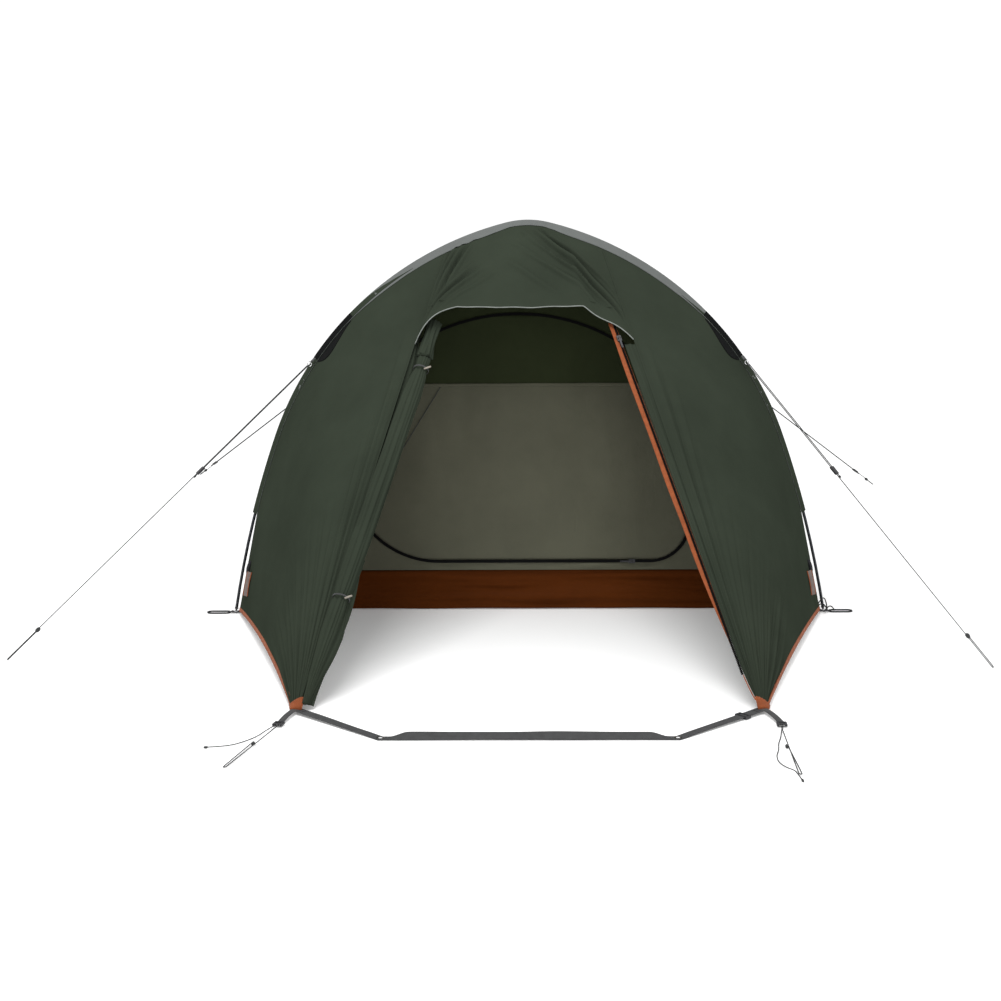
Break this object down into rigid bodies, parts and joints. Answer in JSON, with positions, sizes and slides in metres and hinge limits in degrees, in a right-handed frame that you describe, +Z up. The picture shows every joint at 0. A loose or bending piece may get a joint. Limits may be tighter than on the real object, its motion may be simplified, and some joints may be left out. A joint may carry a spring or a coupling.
{
  "type": "two-hoop tunnel tent",
  "caption": "Tunnel tent with an open front porch, flysheet on sleeved hoop poles, hung inner tent with zipped door, floor tray, peg loops, guy lines and a pegged porch strap.",
  "frame": {"origin": "middle of the tent's footprint without its cords, on the ground", "axes": "+Z up, +Y from the porch to the tail, +X to the right seen from the front"},
  "size_m": [2.88, 3.9217, 1.1248],
  "materials": {
    "fly_green": "coated ripstop nylon, satin",
    "sleeve_grey": "plain woven nylon, matt",
    "binding_light": "woven edging tape",
    "trim_orange": "woven tape, matt",
    "patch_black": "coated reinforcement cloth",
    "tag_grey": "plain woven tag",
    "webbing_grey": "woven nylon webbing",
    "webbing_black": "woven nylon webbing",
    "cord_dark": "braided cord",
    "inner_olive": "uncoated ripstop nylon",
    "inner_mesh": "fine insect mesh",
    "bathtub_brown": "coated floor cloth, satin",
    "zip_black": "coil zip, satin",
    "plastic_black": "moulded, satin",
    "toggle_grey": "moulded, satin",
    "zip_metal": "dark cast metal, satin",
    "pole_dark": "dark anodised",
    "ferrule_metal": "plain tube",
    "eyelet_silver": "bright",
    "elastic_black": "sheathed elastic"
  },
  "bodies": {
    "tent": {"bathtub_floor": "bathtub_brown", "brow_binding": "binding_light", "corner_buckles": "plastic_black", "corner_cord_knots": "cord_dark", "corner_cord_left": "cord_dark", "corner_cord_right": "cord_dark", "corner_patches": "trim_orange", "corner_webbing": "webbing_grey", "fly_body": "fly_green", "fly_brow": "fly_green", "fly_leg_strips": "fly_green", "fly_porch_left": "fly_green", "fly_porch_right": "fly_green", "fly_tail": "fly_green", "fly_zip_flap": "fly_green", "fly_zip_tape": "trim_orange", "foot_buckles": "plastic_black", "foot_eyelets": "eyelet_silver", "foot_peg_loops": "webbing_black", "foot_webbings": "webbing_black", "front_pole_sections": "pole_dark", "front_pole_sleeve": "sleeve_grey", "guy_front_left": "cord_dark", "guy_front_right": "cord_dark", "guy_knots": "cord_dark", "guy_patches": "patch_black", "guy_rear_left": "cord_dark", "guy_rear_right": "cord_dark", "guy_ring_webs": "webbing_grey", "guy_rings": "eyelet_silver", "hem_piping": "trim_orange", "inner_canopy": "inner_olive", "inner_door_zip": "zip_black", "inner_front_wall": "inner_olive", "inner_hangers": "elastic_black", "inner_rear_wall": "inner_olive", "pole_ferrules": "ferrule_metal", "pole_shock_cords": "elastic_black", "pole_tips": "plastic_black", "porch_strap": "webbing_grey", "rear_pole_sections": "pole_dark", "rear_pole_sleeve": "sleeve_grey", "side_pull_tabs": "patch_black", "side_woven_tags": "tag_grey", "strap_eyelets": "eyelet_silver", "tail_peg_loops": "webbing_black"},
    "fly_zip_slider": {"fly_zip_slider": "zip_metal"},
    "fly_zip_puller": {"fly_zip_puller": "zip_metal"},
    "inner_zip_slider": {"inner_zip_slider": "zip_metal"},
    "inner_zip_puller": {"inner_zip_puller": "zip_metal"},
    "inner_door": {"inner_door_panel": "inner_olive", "inner_door_mesh": "inner_mesh"},
    "runner_front_left": {"runner_front_left": "plastic_black"},
    "runner_front_right": {"runner_front_right": "plastic_black"},
    "runner_rear_left": {"runner_rear_left": "plastic_black"},
    "runner_rear_right": {"runner_rear_right": "plastic_black"},
    "door_roll": {"door_roll": "fly_green", "door_roll_ties": "webbing_grey", "door_roll_toggles": "toggle_grey"},
    "strap_slider": {"strap_slider": "plastic_black"}
  },
  "joints": [
    {"name": "fly_zip_slide", "type": "slide", "parent": "tent", "child": "fly_zip_slider", "axis": [0.2531, -0.6478, -0.7185], "range_m": [-0.01, 0.997]},
    {"name": "fly_zip_puller_hinge", "type": "hinge", "parent": "fly_zip_slider", "child": "fly_zip_puller", "pos_m": [0.24418, -0.88655, 0.81654], "axis": [-0.9675, -0.1694, -0.1879], "range_deg": [0, 160]},
    {"name": "inner_zip_slide", "type": "slide", "parent": "tent", "child": "inner_zip_slider", "axis": [-1, 0, 0], "range_m": [-0.03, 0.53]},
    {"name": "inner_zip_puller_hinge", "type": "hinge", "parent": "inner_zip_slider", "child": "inner_zip_puller", "pos_m": [0.3, -0.61335, 0.145], "axis": [0, 0, 1], "range_deg": [0, 160]},
    {"name": "inner_door_hinge", "type": "hinge", "parent": "tent", "child": "inner_door", "pos_m": [0.461, -0.6045, 0.145], "axis": [0, 0, -1], "range_deg": [0, 75]},
    {"name": "runner_front_left_slide", "type": "slide", "parent": "tent", "child": "runner_front_left", "axis": [0.6546, 0.4135, 0.6329], "range_m": [0, 0.2]},
    {"name": "runner_front_right_slide", "type": "slide", "parent": "tent", "child": "runner_front_right", "axis": [-0.5257, 0.5203, 0.673], "range_m": [0, 0.2]},
    {"name": "runner_rear_left_slide", "type": "slide", "parent": "tent", "child": "runner_rear_left", "axis": [0.6538, -0.569, 0.4987], "range_m": [0, 0.2]},
    {"name": "runner_rear_right_slide", "type": "slide", "parent": "tent", "child": "runner_rear_right", "axis": [-0.7379, -0.3684, 0.5655], "range_m": [0, 0.2]},
    {"name": "door_roll_hinge", "type": "hinge", "parent": "tent", "child": "door_roll", "pos_m": [-0.31196, -0.90727, 0.76987], "axis": [-0.2165, -0.6579, -0.7214], "range_deg": [0, 75]},
    {"name": "strap_slider_slide", "type": "slide", "parent": "tent", "child": "strap_slider", "axis": [-0.7375, -0.6752, -0.0147], "range_m": [-0.02, 0.06]}
  ]
}
